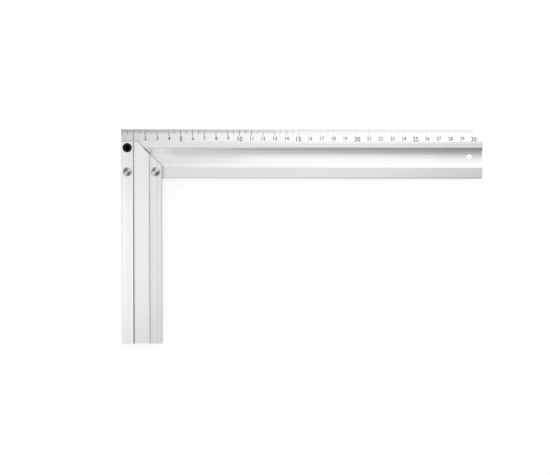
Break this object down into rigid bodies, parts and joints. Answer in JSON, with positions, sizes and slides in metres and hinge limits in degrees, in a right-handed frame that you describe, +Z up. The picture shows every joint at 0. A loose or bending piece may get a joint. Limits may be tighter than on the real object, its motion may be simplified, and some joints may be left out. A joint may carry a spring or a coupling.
{
  "type": "adjustable set square",
  "caption": "Set square with a graduated, bevelled blade held at 90 degrees in a thick mitred stock by two slotted screws; a small eccentric trims the blade's angle.",
  "frame": {"origin": "middle of the bounding box in plan, on the plane that the back of the stock rests on", "axes": "+X along the blade to its free end, +Y towards the graduated edge, +Z up out of the face"},
  "size_m": [0.3076, 0.1816, 0.018],
  "materials": {
    "stock_aluminium": "satin anodised, fine lengthwise extrusion lines",
    "blade_aluminium": "satin anodised, fine lengthwise extrusion lines",
    "black_steel": "black oxide",
    "blackened_screw": "blackened steel, worn bright in the slot and on the rim of the head",
    "spring_steel": "phosphated spring steel",
    "plated_nut": "bright zinc plate",
    "bush_bronze": "turned bronze",
    "plug_nylon": "moulded nylon"
  },
  "bodies": {
    "stock": {"stock_profile": "stock_aluminium", "stock_end_plug": "plug_nylon", "pivot_nut": "plated_nut", "clamp_nut": "plated_nut"},
    "blade": {"blade": "blade_aluminium", "blade_pivot_bush": "bush_bronze"},
    "adjuster": {"adjuster_cam": "black_steel", "adjuster_disc_spring": "spring_steel", "adjuster_retaining_ring": "spring_steel"},
    "pivot_washer_group": {"pivot_lock_washer": "spring_steel"},
    "pivot_screw_group": {"pivot_screw": "blackened_screw"},
    "clamp_washer_group": {"clamp_lock_washer": "spring_steel"},
    "clamp_screw_group": {"clamp_screw": "blackened_screw"}
  },
  "joints": [
    {"name": "blade_trim", "type": "hinge", "parent": "stock", "child": "blade", "pos_m": [-0.12455, 0.05445, 0.009], "axis": [0, 0, 1], "range_deg": [-0.79, 0.79]},
    {"name": "adjuster_turn", "type": "hinge", "parent": "stock", "child": "adjuster", "pos_m": [-0.14845, 0.07475, 0.009], "axis": [0, 0, 1], "range_deg": [-60, 60]},
    {"name": "pivot_washer_lift", "type": "slide", "parent": "stock", "child": "pivot_washer_group", "axis": [0, 0, 1], "range_m": [0, 0.0007]},
    {"name": "pivot_screw_turn", "type": "hinge", "parent": "pivot_washer_group", "child": "pivot_screw_group", "pos_m": [-0.12455, 0.05445, 0.0151], "axis": [0, 0, 1], "range_deg": [0, 360]},
    {"name": "clamp_washer_lift", "type": "slide", "parent": "stock", "child": "clamp_washer_group", "axis": [0, 0, 1], "range_m": [0, 0.0007]},
    {"name": "clamp_screw_turn", "type": "hinge", "parent": "clamp_washer_group", "child": "clamp_screw_group", "pos_m": [-0.14845, 0.05445, 0.0151], "axis": [0, 0, 1], "range_deg": [0, 360]}
  ],
  "couplings": [
    {"joint": "adjuster_turn", "follows": "blade_trim", "ratio": 75.9},
    {"joint": "pivot_screw_turn", "follows": "pivot_washer_lift", "rad_per_m": 8975.9},
    {"joint": "clamp_screw_turn", "follows": "clamp_washer_lift", "rad_per_m": 8975.9}
  ]
}
